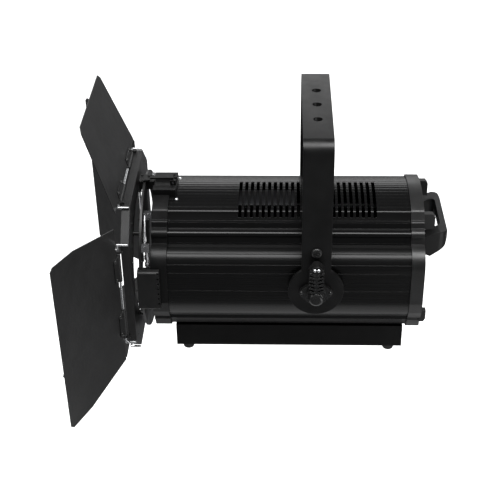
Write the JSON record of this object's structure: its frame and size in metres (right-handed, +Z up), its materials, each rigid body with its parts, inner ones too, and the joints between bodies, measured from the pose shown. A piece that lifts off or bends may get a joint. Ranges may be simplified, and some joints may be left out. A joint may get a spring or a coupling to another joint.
{
  "type": "stage spotlight",
  "caption": "Theatre spotlight with zoom optics, four barn doors on a turning frame, vented ribbed housing and a U-shaped yoke with clamp levers.",
  "frame": {"origin": "centre clamp hole, on the top face of the yoke bar", "axes": "+Z up, away from the lamp, along the clamp hole; the light shines towards -X; the tilt axis is parallel to Y, 222 mm below the origin; left is -Y and right is +Y, seen from behind the lamp"},
  "size_m": [0.5575, 0.484, 0.4269],
  "materials": {
    "black_paint": "satin powder coat",
    "bezel_metal": "satin powder coat on castings",
    "leaf_paint": "matt powder coat on sheet steel",
    "bracket_paint": "satin powder coat",
    "dark_anodised": "anodised dark grey",
    "black_plastic": "moulded, fine texture",
    "socket_plastic": "moulded, smooth",
    "steel": "ground",
    "bright_metal": "plated",
    "turned_aluminium": "turned or extruded",
    "washer_plastic": "friction washer",
    "bearing_bronze": "turned",
    "lens_glass": "pressed, stepped face",
    "window": "tinted",
    "circuit": "circuit board laminate",
    "feet_rubber": "soft rubber"
  },
  "bodies": {
    "yoke": {"yoke": "black_paint", "yoke_guide_screws": "bracket_paint", "pivot_washers": "washer_plastic"},
    "housing": {"barrel_shell": "black_paint", "top_cover": "black_paint", "front_bezel": "bezel_metal", "rear_bezel": "bezel_metal", "rear_panel": "black_paint", "latch_base": "bezel_metal", "latch_pin": "steel", "cover_screws": "bright_metal", "side_clips": "black_plastic", "retainers": "bright_metal", "fresnel_lens": "lens_glass", "lens_retaining_ring": "turned_aluminium", "driver_box": "black_paint", "driver_box_lid": "black_paint", "lid_screws": "bright_metal", "rubber_feet": "feet_rubber", "pivot_bosses": "turned_aluminium", "carry_handle": "black_plastic", "display_window": "window", "control_board": "circuit", "data_sockets": "black_plastic", "power_sockets": "socket_plastic", "fuse_holder": "black_plastic", "panel_screws": "bright_metal", "rod_plates": "black_paint", "guide_rods": "steel", "led_driver": "turned_aluminium"},
    "left_clamp": {"left_clamp_lever": "black_plastic", "left_clamp_stud": "steel"},
    "right_clamp": {"right_clamp_lever": "black_plastic", "right_clamp_stud": "steel"},
    "latch": {"accessory_latch": "bezel_metal"},
    "carriage": {"carriage_plate": "black_paint", "carriage_bushes": "bearing_bronze", "drive_nut": "bearing_bronze", "led_module": "circuit", "heat_sink": "dark_anodised", "fan_frame": "black_plastic"},
    "zoom_drive": {"lead_screw": "steel", "zoom_knob": "black_plastic"},
    "fan": {"fan_rotor": "black_plastic"},
    "doors": {"door_frame": "leaf_paint", "door_ring": "leaf_paint", "hinge_rods": "steel"},
    "menu_button": {"menu_button": "socket_plastic"},
    "down_button": {"down_button": "socket_plastic"},
    "up_button": {"up_button": "socket_plastic"},
    "enter_button": {"enter_button": "socket_plastic"},
    "top_leaf": {"top_leaf": "leaf_paint", "top_leaf_brackets": "bracket_paint"},
    "left_leaf": {"left_leaf": "leaf_paint", "left_leaf_brackets": "bracket_paint"},
    "bottom_leaf": {"bottom_leaf": "leaf_paint", "bottom_leaf_brackets": "bracket_paint"},
    "right_leaf": {"right_leaf": "leaf_paint", "right_leaf_brackets": "bracket_paint"}
  },
  "joints": [
    {"name": "housing_tilt", "type": "hinge", "parent": "yoke", "child": "housing", "pos_m": [0, 0, -0.222], "axis": [0, 1, 0], "range_deg": [-100, 30]},
    {"name": "left_clamp_turn", "type": "hinge", "parent": "yoke", "child": "left_clamp", "pos_m": [0, -0.1205, -0.222], "axis": [0, 1, 0], "range_deg": [-90, 90]},
    {"name": "right_clamp_turn", "type": "hinge", "parent": "yoke", "child": "right_clamp", "pos_m": [0, 0.1205, -0.222], "axis": [0, 1, 0], "range_deg": [-90, 90]},
    {"name": "latch_lift", "type": "hinge", "parent": "housing", "child": "latch", "pos_m": [-0.2, 0, -0.1175], "axis": [0, 1, 0], "range_deg": [0, 60]},
    {"name": "zoom_slide", "type": "slide", "parent": "housing", "child": "carriage", "axis": [1, 0, 0], "range_m": [-0.05, 0.07]},
    {"name": "zoom_turn", "type": "hinge", "parent": "housing", "child": "zoom_drive", "pos_m": [0.1, 0.076, -0.198], "axis": [1, 0, 0], "range_deg": [-2000, 2700]},
    {"name": "fan_spin", "type": "hinge", "parent": "carriage", "child": "fan", "pos_m": [-0.015, 0, -0.2275], "axis": [1, 0, 0], "continuous": true},
    {"name": "door_turn", "type": "hinge", "parent": "housing", "child": "doors", "pos_m": [-0.24, 0, -0.2275], "axis": [1, 0, 0], "continuous": true},
    {"name": "menu_press", "type": "slide", "parent": "housing", "child": "menu_button", "axis": [-1, 0, 0], "range_m": [0, 0.001], "stiffness_N_per_m": 400},
    {"name": "down_press", "type": "slide", "parent": "housing", "child": "down_button", "axis": [-1, 0, 0], "range_m": [0, 0.001], "stiffness_N_per_m": 400},
    {"name": "up_press", "type": "slide", "parent": "housing", "child": "up_button", "axis": [-1, 0, 0], "range_m": [0, 0.001], "stiffness_N_per_m": 400},
    {"name": "enter_press", "type": "slide", "parent": "housing", "child": "enter_button", "axis": [-1, 0, 0], "range_m": [0, 0.001], "stiffness_N_per_m": 400},
    {"name": "top_leaf_hinge", "type": "hinge", "parent": "doors", "child": "top_leaf", "pos_m": [-0.266, -0.00435, -0.10898], "axis": [0, 0.9993, 0.0366], "range_deg": [-136.1, 28.9]},
    {"name": "left_leaf_hinge", "type": "hinge", "parent": "doors", "child": "left_leaf", "pos_m": [-0.266, -0.11852, -0.23185], "axis": [0, -0.0366, 0.9993], "range_deg": [-94.2, 35.8]},
    {"name": "bottom_leaf_hinge", "type": "hinge", "parent": "doors", "child": "bottom_leaf", "pos_m": [-0.266, 0.00435, -0.34602], "axis": [0, -0.9993, -0.0366], "range_deg": [-95.8, 69.2]},
    {"name": "right_leaf_hinge", "type": "hinge", "parent": "doors", "child": "right_leaf", "pos_m": [-0.266, 0.11852, -0.22315], "axis": [0, 0.0366, -0.9993], "range_deg": [-80.2, 49.8]}
  ],
  "couplings": [
    {"joint": "zoom_turn", "follows": "zoom_slide", "rad_per_m": 628.32}
  ]
}
